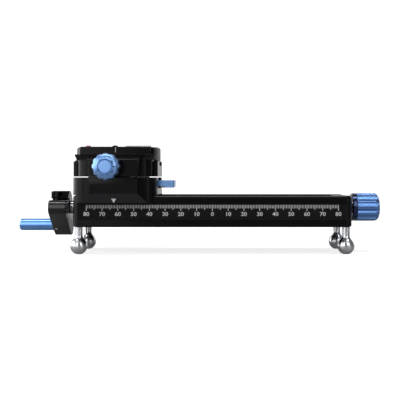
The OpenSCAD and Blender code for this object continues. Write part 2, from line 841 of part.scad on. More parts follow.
module pan_screw() {
    color("#8d9095") translate([car_x, 0, saddle_top_z + hub_h + retainer_h])
        flat_screw(pan_screw_d, hub_h + retainer_h + 1);
}

module clamp_base() {
    front_y = -jaw_back_y + face_gap;
    color("#1b1b1e") difference() {
        translate([car_x, 0, 0]) difference() {
            translate([0, 0, clamp_z]) carriage_block(clamp_base_h);
            translate([-jaw_x - cheek_gap, -carriage_w + front_y, 0]) cube([2 * (jaw_x + cheek_gap), carriage_w, 2 * base_top_z]);
            translate([-carriage_l, -carriage_w + front_y, base_top_z - cheek_drop]) cube([2 * carriage_l, carriage_w, base_top_z]);
            translate([-carriage_l, -carriage_w - car_y + carriage_corner_r, 0]) cube([2 * carriage_l, carriage_w, 2 * base_top_z]);
            translate([0, 0, clamp_z - cut]) cylinder(d = pan_hub_d + 2 * running_gap, h = clamp_base_h);
            translate([0, 0, saddle_top_z + hub_h - face_gap]) cylinder(d = retainer_d + 0.8, h = clamp_base_h);
            translate([carriage_l / 2 - 1.2, -2, clamp_z + 7.2]) cube([3, 20, 2.6]);
        }
        translate([knob_x, 0, knob_z]) rotate([90, 0, 0]) cylinder(d = clamp_screw_d + 2 * running_gap, h = 60);
        jaw_pin_places() translate([0, 0, -guide_pin_in]) cylinder(d = guide_pin_d, h = 2 * guide_pin_in);
        jaw_spring_places() translate([0, 0, -jaw_spring_l]) cylinder(d = jaw_spring_l + 0.4, h = 20);
        deck_screw_places() translate([0, 0, -deck_screw_l + 2]) cylinder(d = deck_screw_d, h = deck_screw_l + cut);
    }
}

// from the back face of the jaw, pointing out to the front
module jaw_pin_places() {
    for (sx = [-1, 1]) {
        translate([car_x + sx * guide_pin_x, -jaw_back_y, guide_pin_z]) along_front() children();
    }
}

module jaw_spring_places() {
    for (sx = [-1, 1]) {
        translate([car_x + sx * (guide_pin_x + 5.4), -jaw_back_y, guide_pin_z]) along_front() children();
    }
}

module deck_screw_places() {
    for (sx = [-1, 1], sy = [0, 1]) {
        translate([car_x + sx * 19, sy * 14, base_top_z]) children();
    }
}

// the space between the lips: a 45 degree dovetail, drawn along X about the middle of the carriage
// and kept inside the round walls that close it at both ends
module dovetail_cutter() {
    undercut = channel_depth - lip_edge_h - 1.9;
    l = deck_d - 4 * end_wall_t;
    intersection() {
        cylinder(r = deck_d / 2 - end_wall_t, h = 2 * deck_top_z);
        rotate([90, 0, 90]) translate([0, 0, -l / 2]) linear_extrude(l) polygon([
            [-lip_y, deck_top_z + cut], [-lip_y, deck_top_z - lip_edge_h],
            [-lip_y - undercut, deck_top_z - lip_edge_h - undercut], [-lip_y - undercut, channel_floor_z],
            [lip_y + undercut, channel_floor_z], [lip_y + undercut, deck_top_z - lip_edge_h - undercut],
            [lip_y, deck_top_z - lip_edge_h], [lip_y, deck_top_z + cut]
        ]);
    }
}

module clamp_deck() {
    front_y = -jaw_back_y + face_gap;
    color("#1b1b1e") translate([car_x, 0, 0]) difference() {
        translate([0, 0, base_top_z]) chamfered_bar(deck_d, deck_h, 0, 1);
        translate([-deck_d, -2 * deck_d + front_y, 0]) cube([2 * deck_d, 2 * deck_d, 2 * deck_top_z]);
        dovetail_cutter();
        translate([-car_x, 0, 0]) deck_screw_places() translate([0, 0, channel_floor_z - base_top_z]) flat_screw_hole(deck_screw_d, 4);
    }
}

module clamp_deck_screws() {
    color("#2c2c30") deck_screw_places() translate([0, 0, channel_floor_z - base_top_z]) flat_screw(deck_screw_d, deck_screw_l);
}

module jaw_guide_pins() {
    color("#c9ccd0") jaw_pin_places() translate([0, 0, -guide_pin_in]) cylinder(d = guide_pin_d, h = guide_pin_in + guide_pin_out);
}

module jaw_springs() {
    color("#a9acb0") jaw_spring_places() translate([0, 0, -jaw_spring_l]) spring_sleeve(jaw_spring_l, 0.65 * jaw_spring_l, jaw_spring_l);
}

// ---------- clamp jaw ----------

module jaw_side() {
    slope_y = jaw_lip_y + 1;
    lip_z = deck_top_z - jaw_lip_h;
    undercut = channel_depth - lip_edge_h - 1.9;
    polygon([
        [-jaw_front_y, clamp_z], [-jaw_back_y, clamp_z], [-jaw_back_y, channel_floor_z],
        [-lip_y - undercut, channel_floor_z], [-lip_y - undercut, deck_top_z - lip_edge_h - undercut],
        [-lip_y, deck_top_z - lip_edge_h], [-lip_y, deck_top_z - 0.4], [-lip_y - 0.4, deck_top_z],
        [-jaw_lip_y + 0.4, deck_top_z], [-jaw_lip_y, deck_top_z - 0.4],
        [-jaw_lip_y, lip_z + 0.3], [-jaw_lip_y - 0.3, lip_z],
        [-slope_y, lip_z], [-jaw_front_y, base_top_z]
    ]);
}

// what the jaw keeps, seen from the front: body, wings and the shorter lip
module jaw_front() {
    wing_x = jaw_x + 1.6;
    notch_x = jaw_x - 0.4;
    lip_z = deck_top_z - jaw_lip_h;
    polygon([
        [-jaw_x, clamp_z], [jaw_x, clamp_z], [jaw_x, base_top_z - 0.4], [notch_x, base_top_z + 0.2],
        [wing_x, lip_z - 0.7], [wing_x, lip_z], [jaw_lip_x, lip_z], [jaw_lip_x, deck_top_z],
        [-jaw_lip_x, deck_top_z], [-jaw_lip_x, lip_z], [-wing_x, lip_z],
        [-wing_x, lip_z - 0.7], [-notch_x, base_top_z + 0.2], [-jaw_x, base_top_z - 0.4]
    ]);
}

module jaw_panel() {
    lip_z = deck_top_z - jaw_lip_h;
    flare = lip_z - base_top_z;
    hull() {
        translate([-panel_w / 2, -panel_y, clamp_z]) cube([panel_w, panel_t + 2.5, clamp_base_h - eps]);
        translate([-panel_w / 2 - flare, -jaw_lip_y - 1.2, lip_z - eps]) cube([panel_w + 2 * flare, 1, eps]);
    }
}

module clamp_jaw() {
    color("#1b1b1e") difference() {
        translate([car_x, 0, 0]) union() {
            intersection() {
                translate([-carriage_l, 0, 0]) rotate([90, 0, 90]) linear_extrude(2 * carriage_l) jaw_side();
                along_front() linear_extrude(2 * carriage_w) jaw_front();
                union() {
                    linear_extrude(base_top_z) rounded_rect(2 * jaw_x, 2 * jaw_front_y, jaw_corner_r);
                    translate([-carriage_l, -carriage_w, base_top_z - eps]) cube([2 * carriage_l, carriage_w, 2 * deck_h]);
                }
            }
            jaw_panel();
        }
        translate([knob_x, -jaw_back_y + cut, knob_z]) along_front() cylinder(d = clamp_screw_d + 0.6, h = 60);
        jaw_pin_places() translate([0, 0, -cut]) cylinder(d = guide_pin_d + 2 * running_gap, h = guide_pin_out + 0.5 + cut);
        jaw_spring_places() translate([0, 0, -cut]) cylinder(d = 2.6, h = 2 + cut);
        translate([car_x + 6.4, -jaw_lip_y + 0.6, deck_top_z - 1.2]) cube([16.1, 2.3, 3]);
        stop_pin_place() translate([0, 0, -4]) cylinder(d = 2.1, h = 6);
        button_place() translate([0, 0, -3]) cylinder(d = button_d + 2 * running_gap, h = 6);
    }
}

module stop_pin_place() {
    translate([car_x - 0.5, -(lip_y + jaw_lip_y) / 2, deck_top_z]) children();
}

module button_place() {
    translate([car_x - 17.7, -(lip_y + jaw_lip_y) / 2, deck_top_z]) children();
}

module jaw_grip_strip() {
    color("#202022") translate([car_x + 6.5, -jaw_lip_y + 0.7, deck_top_z - 1.2]) difference() {
        cube([grip_ribs * grip_pitch - grip_slot, 2.1, grip_h]);
        for (i = [1 : grip_ribs - 1]) {
            translate([i * grip_pitch - grip_slot, -cut, grip_h - 0.7]) cube([grip_slot, 5, 3]);
        }
    }
}

module stop_pin() {
    color("#2c2c30") stop_pin_place() {
        translate([0, 0, -3.8]) cylinder(d = 2.1, h = 4);
        rotate_extrude() intersection() {
            translate([0, -2.2]) circle(3.1);
            square([2.1, 3]);
        }
    }
}

module release_button() {
    color("#a3252b") button_place() translate([0, 0, -1.6]) chamfered_bar(button_d, 2.3, 0, 0.3);
}

module clamp_screw() {
    color("#b9bcc0") translate([knob_x, -jaw_back_y + clamp_screw_in, knob_z])
        along_front() chamfered_bar(clamp_screw_d, knob_back_y - jaw_back_y + clamp_screw_in + 7, 0.6, 0);
}

module clamp_washer() {
    color("#2c2c30") translate([knob_x, -panel_y - 0.1, knob_z]) along_front() difference() {
        cylinder(d = 9.6, h = knob_back_y - panel_y - 0.1);
        translate([0, 0, -cut]) cylinder(d = clamp_screw_d, h = 10);
    }
}

module clamp_knob() {
    front_d = clamp_knob_d - 2.9;
    cap_d = 9;
    color("#3f6fb4") translate([knob_x, -knob_back_y, knob_z]) along_front() difference() {
        rotate_extrude() polygon([
            [0, 0], [clamp_knob_d / 2 - 0.5, 0], [clamp_knob_d / 2, 0.5],
            [clamp_knob_d / 2, clamp_knob_l - 3], [front_d / 2 + 0.4, clamp_knob_l - 1.4],
            [front_d / 2 - 0.4, clamp_knob_l - 0.8], [cap_d / 2, clamp_knob_l], [0, clamp_knob_l]
        ]);
        translate([0, 0, -cut]) flute_cutters(clamp_knob_d, 0.6, 1.3, clamp_knob_l + 2 * cut);
        translate([0, 0, -cut]) cylinder(d = clamp_screw_d, h = 7 + cut);
        translate([0, 0, clamp_knob_l - 0.3]) difference() {
            cylinder(d = cap_d - 0.2, h = cut);
            translate([0, 0, -cut]) cylinder(d = cap_d - 1, h = 3 * cut);
        }
    }
}

rail_channel();
left_end_block();
right_end_block();
front_guide_rod();
rear_guide_rod();
left_bearing();
right_bearing();
end_block_screws();
front_left_foot();
front_right_foot();
rear_left_foot();
rear_right_foot();
lead_screw();
left_collar();
right_collar();
end_knob();
end_knob_set_screw();
crank_arm();
crank_clamp_screw();
handle_pin();
handle_hinge();
handle_grip();
carriage_saddle();
front_rod_bushes();
rear_rod_bushes();
half_nut();
quick_lever();
lever_pin();
lever_springs();
pan_hub();
pan_hub_screws();
pan_retainer();
pan_screw();
clamp_base();
clamp_deck();
clamp_deck_screws();
jaw_guide_pins();
jaw_springs();
clamp_jaw();
jaw_grip_strip();
stop_pin();
release_button();
clamp_screw();
clamp_washer();
clamp_knob();
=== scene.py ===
import json
import math

import bmesh
import bpy
from mathutils import Matrix, Vector

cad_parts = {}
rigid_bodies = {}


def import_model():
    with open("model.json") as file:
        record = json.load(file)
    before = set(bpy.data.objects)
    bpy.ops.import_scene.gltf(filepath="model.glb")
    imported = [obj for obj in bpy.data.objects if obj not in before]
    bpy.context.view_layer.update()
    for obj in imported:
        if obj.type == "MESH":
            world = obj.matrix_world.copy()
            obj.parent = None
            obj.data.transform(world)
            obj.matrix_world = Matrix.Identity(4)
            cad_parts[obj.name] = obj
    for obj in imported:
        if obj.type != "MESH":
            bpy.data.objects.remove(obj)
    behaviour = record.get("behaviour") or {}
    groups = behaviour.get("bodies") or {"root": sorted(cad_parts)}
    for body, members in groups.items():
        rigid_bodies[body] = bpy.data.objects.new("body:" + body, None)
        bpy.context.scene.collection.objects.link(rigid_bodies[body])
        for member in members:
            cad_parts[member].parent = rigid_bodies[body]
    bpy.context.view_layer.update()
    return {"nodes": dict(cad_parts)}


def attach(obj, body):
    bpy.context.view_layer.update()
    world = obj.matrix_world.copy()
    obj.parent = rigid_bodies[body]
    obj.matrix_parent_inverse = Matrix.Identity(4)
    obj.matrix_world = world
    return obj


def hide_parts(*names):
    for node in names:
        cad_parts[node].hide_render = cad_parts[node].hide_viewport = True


for start_object in list(bpy.data.objects):
    bpy.data.objects.remove(start_object)
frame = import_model()
nodes = frame["nodes"]


# ---------- rail body ----------
# One length of milled 6061 aluminium with an open trough, bead blasted and anodised black.
# The milling leaves crisp edges, and the deburring wheel breaks them by a tenth or two.

MM = 0.001


def linear(hex_code):
    """An sRGB hex colour as linear RGBA."""
    parts = [int(hex_code[i:i + 2], 16) / 255 for i in (1, 3, 5)]
    return [p / 12.92 if p <= 0.04045 else ((p + 0.055) / 1.055) ** 2.4 for p in parts] + [1]


def add(tree, kind, settings=None, inputs=None):
    """Adds a node with its settings; an input that is another node's output is linked."""
    made = tree.nodes.new(kind)
    for key, value in (settings or {}).items():
        setattr(made, key, value)
    for key, value in (inputs or {}).items():
        if isinstance(value, bpy.types.NodeSocket):
            tree.links.new(value, made.inputs[key])
        else:
            made.inputs[key].default_value = value
    return made


def start_material(name, settings):
    """A new material with one Principled shader, whose plain settings are given."""
    made = bpy.data.materials.new(name)
    made.use_nodes = True
    shader = made.node_tree.nodes["Principled BSDF"]
    for key, value in settings.items():
        shader.inputs[key].default_value = value
    return made, made.node_tree, shader


def mottled(tree, shader, cloud, dark, pale, grain, least, most):
    """Varies a surface as real processes do: one pattern drives its colour, one its roughness."""
    tone = add(tree, "ShaderNodeMix", {"data_type": "RGBA"}, {0: cloud, 6: linear(dark), 7: linear(pale)})
    tree.links.new(tone.outputs[2], shader.inputs["Base Color"])
    gloss = add(tree, "ShaderNodeMapRange", {}, {0: grain, 3: least, 4: most})
    tree.links.new(gloss.outputs[0], shader.inputs["Roughness"])


def blasted_black(name, dark, pale, grain, roughness, shine):
    """Bead-blasted, black anodised aluminium: the dyed oxide over blasted metal reads as a deep,
    even satin. Real blast pits are near 0.05 mm; they are drawn as coarse as the render shows."""
    made, tree, shader = start_material(name, {"Specular IOR Level": shine})
    place = add(tree, "ShaderNodeTexCoord").outputs["Object"]
    pits = add(tree, "ShaderNodeTexNoise", {},
               {"Vector": place, "Scale": 1 / grain, "Detail": 3, "Roughness": 0.6}).outputs["Fac"]
    cloud = add(tree, "ShaderNodeTexNoise", {}, {"Vector": place, "Scale": 1 / (14 * MM), "Detail": 3})
    mottled(tree, shader, cloud.outputs["Fac"], dark, pale, pits, roughness - 0.05, roughness + 0.07)
    bump = add(tree, "ShaderNodeBump", {}, {"Strength": 0.25, "Distance": 0.03 * MM, "Height": pits})
    tree.links.new(bump.outputs["Normal"], shader.inputs["Normal"])
    return made


def piece(name, bm, material, body, slot, *stands_for):
    """Makes a finished mesh a piece that rides on its body and stands for its CAD nodes."""
    mesh = bpy.data.meshes.new(name)
    bm.to_mesh(mesh)
    bm.free()
    mesh.shade_smooth()
    made = bpy.data.objects.new(name, mesh)
    bpy.context.scene.collection.objects.link(made)
    mesh.materials.append(material)
    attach(made, body)
    if stands_for:
        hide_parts(*stands_for)
    return made


def machined(name, node, material, body, slot, break_width, segments=2, keep_inside=False):
    """A merged copy of a CAD node whose sharp edges get the small break a deburring tool leaves."""
    bm = bmesh.new()
    bm.from_mesh(nodes[node].data)
    bmesh.ops.remove_doubles(bm, verts=bm.verts, dist=0.002 * MM)
    bmesh.ops.dissolve_limit(bm, angle_limit=math.radians(0.4), verts=bm.verts, edges=bm.edges)
    made = piece(name, bm, material, body, slot, node)
    for attribute in [a.name for a in made.data.attributes if a.name == "custom_normal"]:
        made.data.attributes.remove(made.data.attributes[attribute])
    bevel = made.modifiers.new("edge_break", "BEVEL")
    bevel.width = break_width
    bevel.segments = segments
    bevel.limit_method = "ANGLE"
    bevel.angle_limit = math.radians(28)
    bevel.use_clamp_overlap = keep_inside
    bevel.harden_normals = True
    return made


def refinish(made, material, chosen):
    """Gives another finish to the faces of a piece that the test picks."""
    made.data.materials.append(material)
    for face in made.data.polygons:
        if chosen(face):
            face.material_index = len(made.data.materials) - 1


COARSE_GRAIN = 0.45 * MM
FINE_GRAIN = 0.3 * MM
RAIL_SIDE = 26 * MM
POCKET_LOW = 5.1 * MM
POCKET_HIGH = 14.9 * MM
RAIL_TOP = 20 * MM
black_anodised = blasted_black("black_anodised_blasted", "#060607", "#09090b", COARSE_GRAIN, 0.22, 0.1)
rail = machined("rail_body", "rail_channel", black_anodised, "rail", "black_anodised", 0.12 * MM)
milled_black = blasted_black("black_anodised_milled", "#090a0b", "#0c0c0e", FINE_GRAIN, 0.35, 0.13)
dull_black = blasted_black("black_anodised_dull", "#070708", "#0a0a0b", FINE_GRAIN, 0.6, 0.02)
refinish(rail, milled_black, lambda face: RAIL_SIDE - MM < abs(face.center.y) < RAIL_SIDE - 0.01 * MM
         and POCKET_LOW < face.center.z < POCKET_HIGH)
refinish(rail, dull_black, lambda face: face.normal.z > 0.9 and face.center.z > RAIL_TOP - 0.1 * MM)


# ---------- scale ----------
# A millimetre scale, 80-0-80, engraved in the pocket of each side of the rail and filled with
# grey-white paint that stands just proud of the pocket's floor.

engraving_paint, tree, shader = start_material("engraving_paint",
                                               {"Roughness": 0.55, "Specular IOR Level": 0.3})
place = add(tree, "ShaderNodeTexCoord").outputs["Object"]
patchy = add(tree, "ShaderNodeTexNoise", {}, {"Vector": place, "Scale": 1 / (1.2 * MM), "Detail": 2})
tone = add(tree, "ShaderNodeMix", {"data_type": "RGBA"},
           {0: patchy.outputs["Fac"], 6: linear("#989898"), 7: linear("#bababa")})
tree.links.new(tone.outputs[2], shader.inputs["Base Color"])

SCALE_END = 80
POCKET_FLOOR = 25.5 * MM
PAINT = 0.03 * MM
TICK_TOP = 14.2 * MM
TICK_FOOT_MM = {"ten": 10.4, "five": 11.1, "one": 12.0}
HALF_TICK_MM = {"ten": 0.22, "five": 0.22, "one": 0.19}
DIGIT_LOW = 7.25 * MM
DIGIT_SIZE = 3.45 * MM
DIGIT_WIDTH = 1.12


def bar(bm, low, high):
    """Adds a box between two corners."""
    low, high = Vector(low), Vector(high)
    size = high - low
    spot = Matrix.Translation((low + high) / 2) @ Matrix.Diagonal((*size, 1))
    bmesh.ops.create_cube(bm, size=1, matrix=spot)


def lettered(bm, words, size, matrix, width=1.0):
    """Adds words as a thin raised layer; they start in the XY plane, centred on the origin."""
    curve = bpy.data.curves.new("lettering", "FONT")
    curve.body = words
    curve.size = size
    curve.align_x = "CENTER"
    curve.extrude = PAINT / 2
    curve.offset = 0.02 * size
    curve.resolution_u = 3
    text = bpy.data.objects.new("lettering", curve)
    mesh = bpy.data.meshes.new_from_object(text)
    mesh.transform(matrix @ Matrix.Diagonal((width, 1, 1, 1)))
    bm.from_mesh(mesh)
    bpy.data.objects.remove(text)
    bpy.data.curves.remove(curve)
    bpy.data.meshes.remove(mesh)


for side, turn in (("front", 0), ("rear", math.pi)):
    marks = bmesh.new()
    for x in range(-SCALE_END, SCALE_END + 1):
        kind = "ten" if x % 10 == 0 else "five" if x % 5 == 0 else "one"
        wide = HALF_TICK_MM[kind]
        bar(marks, ((x - wide) * MM, -POCKET_FLOOR - PAINT, TICK_FOOT_MM[kind] * MM),
            ((x + wide) * MM, -POCKET_FLOOR + PAINT, TICK_TOP))
    for x in range(-SCALE_END, SCALE_END + 1, 10):
        spot = Matrix.Translation((x * MM, -POCKET_FLOOR, DIGIT_LOW))
        upright = spot @ Matrix.Rotation(math.pi / 2, 4, "X")
        lettered(marks, str(abs(x)), DIGIT_SIZE, upright, DIGIT_WIDTH)
    bmesh.ops.rotate(marks, verts=marks.verts, cent=(0, 0, 0), matrix=Matrix.Rotation(turn, 3, "Z"))
    piece(side + "_scale", marks, engraving_paint, "rail", "black_anodised").data.shade_flat()


# ---------- end blocks and their screws ----------
# Two turned-down blocks of the same black aluminium close the trough and carry the rods.
# Zinc-plated countersunk screws hold them from below.

for side in ("left", "right"):
    machined(side + "_end_plate", side + "_end_block", black_anodised, "rail", "black_anodised", 0.2 * MM)


def turned_steel(name, pale, dark, roughness, axis, centre, pitch, depth):
    """Bright steel off the lathe or the grinding wheel: fine rings run round the axis, which
    pull each highlight out along the piece. Real rings lie under 0.1 mm apart; they are drawn
    as coarse as the render shows."""
    made, tree, shader = start_material(name, {"Metallic": 1.0})
    place = add(tree, "ShaderNodeTexCoord").outputs["Object"]
    centred = add(tree, "ShaderNodeMapping", {}, {"Vector": place, "Location": [-c for c in centre]})
    parts = add(tree, "ShaderNodeSeparateXYZ", {}, {0: centred.outputs[0]})
    across = [parts.outputs[i] for i in range(3) if i != "XYZ".index(axis)]
    flat = add(tree, "ShaderNodeCombineXYZ", {}, {0: across[0], 1: across[1]})
    radius = add(tree, "ShaderNodeVectorMath", {"operation": "LENGTH"}, {0: flat.outputs[0]})
    path = add(tree, "ShaderNodeCombineXYZ", {},
               {0: parts.outputs["XYZ".index(axis)], 1: radius.outputs["Value"]})
    rings = add(tree, "ShaderNodeTexNoise", {},
                {"Vector": path.outputs[0], "Scale": 1 / pitch, "Detail": 2}).outputs["Fac"]
    mottled(tree, shader, rings, dark, pale, rings, roughness * 0.8, roughness * 1.25)
    bump = add(tree, "ShaderNodeBump", {}, {"Strength": 0.3, "Distance": depth, "Height": rings})
    tree.links.new(bump.outputs["Normal"], shader.inputs["Normal"])
    return made


def finish_node(material, *names):
    """Gives CAD nodes whose shape is right their real finish."""
    for name in names:
        nodes[name].material_slots[0].material = material


zinc_plated = turned_steel("zinc_plated_steel", "#b9bcc4", "#8e939c", 0.3, "Z",
                           (0, 0, 0), 0.6 * MM, 0.01 * MM)
finish_node(zinc_plated, "end_block_screws", "pan_hub_screws", "pan_screw")


# ---------- guide rods and bearings ----------
# Hardened and ground steel rods, pressed into both end blocks, and two small ball bearings
# for the screw. Grinding leaves very fine rings round each rod.

SCREW_AXIS_Z = 12 * MM
SCREW_AXIS = (0, 0, SCREW_AXIS_Z)
for side, y in (("front", -12), ("rear", 12)):
    ground = turned_steel(side + "_ground_steel", "#c9ccd1", "#a9acb3", 0.2, "X",
                          (0, y * MM, 11.5 * MM), 0.35 * MM, 0.006 * MM)
    finish_node(ground, side + "_guide_rod")
race_steel = turned_steel("race_steel", "#c4c6ca", "#9da0a6", 0.18, "X", SCREW_AXIS, 0.5 * MM, 0.01 * MM)
finish_node(race_steel, "left_bearing", "right_bearing")


# ---------- lead screw ----------
# A stainless shaft with a rolled 1.25 mm thread between its bearings, turned down at both
# ends for the knob and the crank.

PITCH = 1.25 * MM
CORE = 3.4 * MM
CREST = 3.98 * MM
THREAD_HALF = 84.2 * MM


def spun(outline, steps, closed=False):
    """A turned part from its outline: pairs of distance along the axis and radius, spun round X."""
    bm = bmesh.new()
    ring = [bm.verts.new((x, 0, r)) for x, r in outline]
    edges = [bm.edges.new(pair) for pair in zip(ring, ring[1:])]
    if closed:
        edges.append(bm.edges.new((ring[-1], ring[0])))
    bmesh.ops.spin(bm, geom=ring + edges, cent=(0, 0, 0), axis=(1, 0, 0), angle=2 * math.pi, steps=steps,
                   use_merge=True)
    bmesh.ops.remove_doubles(bm, verts=bm.verts, dist=0.0005 * MM)
    bmesh.ops.recalc_face_normals(bm, faces=bm.faces)
    return bm


def helix(bm, profile, pitch, turns, start, steps_a_turn):
    """Adds a closed profile, pairs of distance along X and radius, swept as a thread round X."""
    ring = [bm.verts.new((start + x, 0, r)) for x, r in profile]
    edges = [bm.edges.new(pair) for pair in zip(ring, ring[1:] + ring[:1])]
    bm.faces.new(ring)
    steps = int(turns * steps_a_turn)
    swept = bmesh.ops.spin(bm, geom=ring + edges, cent=(0, 0, 0), axis=(1, 0, 0),
                           dvec=(pitch / steps_a_turn, 0, 0), angle=2 * math.pi * turns, steps=steps)
    last = [e for e in swept["geom_last"] if isinstance(e, bmesh.types.BMEdge)]
    bmesh.ops.contextual_create(bm, geom=last)
    bmesh.ops.recalc_face_normals(bm, faces=bm.faces)


END = 0.5 * MM
SHANK = 3.99 * MM
SHOULDER = 88.5 * MM
JOURNAL = 3 * MM
TIP = 2.5 * MM
shaft = spun([(-103.3 * MM, 0), (-103.3 * MM, TIP), (-102.8 * MM, JOURNAL),
              (-SHOULDER, JOURNAL), (-SHOULDER, SHANK), (-THREAD_HALF, SHANK),
              (-THREAD_HALF + END, CORE), (THREAD_HALF - END, CORE),
              (THREAD_HALF, SHANK), (SHOULDER, SHANK), (SHOULDER, JOURNAL),
              (104.5 * MM, JOURNAL), (105 * MM, TIP), (105 * MM, 0)], steps=48)
turns = int(2 * (THREAD_HALF - END) / PITCH)
ROOT = CORE - 0.1 * MM
helix(shaft, [(-0.42 * MM, ROOT), (0.42 * MM, ROOT), (0.14 * MM, CREST), (-0.14 * MM, CREST)],
      PITCH, turns, start=-turns * PITCH / 2, steps_a_turn=20)
bmesh.ops.translate(shaft, verts=shaft.verts, vec=(0, 0, SCREW_AXIS_Z))
rolled_steel = turned_steel("rolled_stainless", "#c6c9cd", "#8f9298", 0.24, "X",
                            SCREW_AXIS, 0.4 * MM, 0.008 * MM)
screw = piece("threaded_screw", shaft, rolled_steel, "screw", "ground_steel", "lead_screw")
screw.data.set_sharp_from_angle(angle=math.radians(30))

collar_steel = turned_steel("collar_steel", "#96969b", "#828287", 0.2, "X", SCREW_AXIS, 0.4 * MM, 0.004 * MM)
for side in ("left", "right"):
    machined(side + "_shaft_collar", side + "_collar", collar_steel, "screw", "black_anodised", 0.1 * MM)


# ---------- end knob ----------
# Turned and fluted aluminium, anodised blue; the band at its root is painted dark navy as painted shade. The
# dye lets the turned metal shine through, so it reads as a coloured metal with soft highlights.


def blue_dyed(name, axis, centre, roughness=0.38, pale="#86b0e4", dark="#74a2dc"):
    """Turned aluminium under clear blue anodising: saturated in shade, pale where it shines."""
    made = turned_steel(name, pale, dark, roughness, axis, centre, 0.22 * MM, 0.002 * MM)
    shader = made.node_tree.nodes["Principled BSDF"]
    shader.inputs["Coat Weight"].default_value = 0.6
    shader.inputs["Coat Roughness"].default_value = 0.15
    return made


def ring_cuts(made, axis, places):
    """Cuts long faces across an axis, so that the shape of an end doesn't bend their shading."""
    bm = bmesh.new()
    bm.from_mesh(made.data)
    for place in places:
        everything = bm.verts[:] + bm.edges[:] + bm.faces[:]
        bmesh.ops.bisect_plane(bm, geom=everything, plane_co=axis * place, plane_no=axis)
    bm.to_mesh(made.data)
    bm.free()


ROOT_SHADE_END = 95.25 * MM
KNOB_CUTS_MM = (95.7, 96.4, 98, 101, 104, 105.8, 106.5)
knob_blue = blue_dyed("end_knob_blue", "X", SCREW_AXIS, 0.2, "#6690cc", "#5681bf")
knob = machined("fluted_knob", "end_knob", knob_blue, "screw", "blue_anodised", 0.28 * MM, 3)
ring_cuts(knob, Vector((1, 0, 0)), [x * MM for x in KNOB_CUTS_MM])
# Painted shade: the faces at the root of the knob get a dark navy copy of the blue.
root_painted_shade_blue = blue_dyed("knob_root_painted_shade", "X", SCREW_AXIS, 0.2, "#172a52", "#122346")
refinish(knob, root_painted_shade_blue, lambda face: face.center.x < ROOT_SHADE_END)
black_oxide = turned_steel("black_oxide_steel", "#26262a", "#161618", 0.34, "Z",
                           (0, 0, 0), 0.5 * MM, 0.01 * MM)
finish_node(black_oxide, "end_knob_set_screw", "clamp_deck_screws", "clamp_washer", "stop_pin")


# ---------- crank ----------
# A milled arm that is split at the hub and closed on the shaft by a cap screw with a knurled
# head. A steel pin through its flank carries the folding handle.

HUB_TOP = 17.5 * MM
crank_black = blasted_black("black_anodised_satin", "#050506", "#070708", COARSE_GRAIN, 0.2, 0.42)
crank = machined("crank_body", "crank_arm", crank_black, "screw", "black_anodised", 0.35 * MM, 3)
refinish(crank, dull_black, lambda face: face.center.z > HUB_TOP and abs(face.normal.x) < 0.5)
pin_steel = turned_steel("pin_steel", "#e0e1e4", "#c4c6ca", 0.5, "X", (0, 0, 0), 0.5 * MM, 0.01 * MM)
finish_node(pin_steel, "handle_pin", "lever_pin", "jaw_guide_pins")

HEAD = Vector((-103.0, -6.2, 18.6)) * MM
HEAD_R = 2.75 * MM
HEAD_TALL = 3.6 * MM
HEAD_BREAK = 0.35 * MM
KNURLS = 30
KNURL_IN = 0.93
cap = bmesh.new()
rim = bmesh.ops.create_circle(cap, cap_ends=True, radius=HEAD_R, segments=2 * KNURLS)["verts"]
for i, v in enumerate(sorted(rim, key=lambda v: math.atan2(v.co.y, v.co.x))):
    if i % 2:
        v.co *= KNURL_IN
walls = bmesh.ops.extrude_face_region(cap, geom=cap.faces[:])
top = [g for g in walls["geom"] if isinstance(g, bmesh.types.BMVert)]
bmesh.ops.translate(cap, verts=top, vec=(0, 0, HEAD_TALL))
upper = [f for f in cap.faces if all(v.co.z > HEAD_TALL / 2 for v in f.verts)]
bmesh.ops.inset_region(cap, faces=upper, thickness=HEAD_BREAK, depth=HEAD_BREAK)
bmesh.ops.recalc_face_normals(cap, faces=cap.faces)
bmesh.ops.translate(cap, verts=cap.verts, vec=HEAD)
piece("crank_screw_head", cap, black_oxide, "screw", "dark_steel").data.shade_flat()
finish_node(black_oxide, "crank_clamp_screw")


# ---------- folding handle ----------
# A blue aluminium sleeve that spins on a black steel axle. The axle's tongue folds in the
# slot of the arm.

finish_node(black_oxide, "handle_hinge")
grip_blue = blue_dyed("grip_blue", "X", (0, 8 * MM, 0), 0.3, "#6c9cdc", "#5b8ccf")
machined("grip_sleeve", "handle_grip", grip_blue, "grip", "blue_anodised", 0.2 * MM, 3)


# ---------- feet ----------
# Four turned and polished ball feet, screwed into the rail from below. The turning rings draw
# each highlight out into an upright streak.

polished = turned_steel("polished_steel", "#cacbce", "#b8b9bc", 0.22, "Z", (0, 0, 0), 1.0 * MM, 0.002 * MM)
drawn_out = add(polished.node_tree, "ShaderNodeCombineXYZ", {}, {2: 1.0})
turned_finish = polished.node_tree.nodes["Principled BSDF"]
turned_finish.inputs["Anisotropic"].default_value = 0.92
polished.node_tree.links.new(drawn_out.outputs[0], turned_finish.inputs["Tangent"])
BALL_R = 5.5 * MM
BALL_Z = -12.15 * MM
NECK_R = 2.5 * MM
FILLET_R = 4 * MM
FLOOR_Z = -17.4 * MM
FOOT_X = 85.5 * MM
FOOT_Y = 20.5 * MM
STUD_R = 2 * MM
STUD_TOP = 8 * MM
fillet_r_from_axis = NECK_R + FILLET_R
fillet_z = BALL_Z + math.sqrt((BALL_R + FILLET_R) ** 2 - fillet_r_from_axis ** 2)
meet = math.atan2(fillet_z - BALL_Z, fillet_r_from_axis)
flat_angle = math.asin((FLOOR_Z - BALL_Z) / BALL_R)
foot_outline = [(FLOOR_Z, 0)]
foot_outline += [(BALL_Z + BALL_R * math.sin(a), BALL_R * math.cos(a))
                 for a in [flat_angle + i * (meet - flat_angle) / 24 for i in range(25)]]
foot_outline += [(fillet_z - FILLET_R * math.sin(a), fillet_r_from_axis - FILLET_R * math.cos(a))
                 for a in [meet * (1 - i / 10) for i in range(1, 11)]]
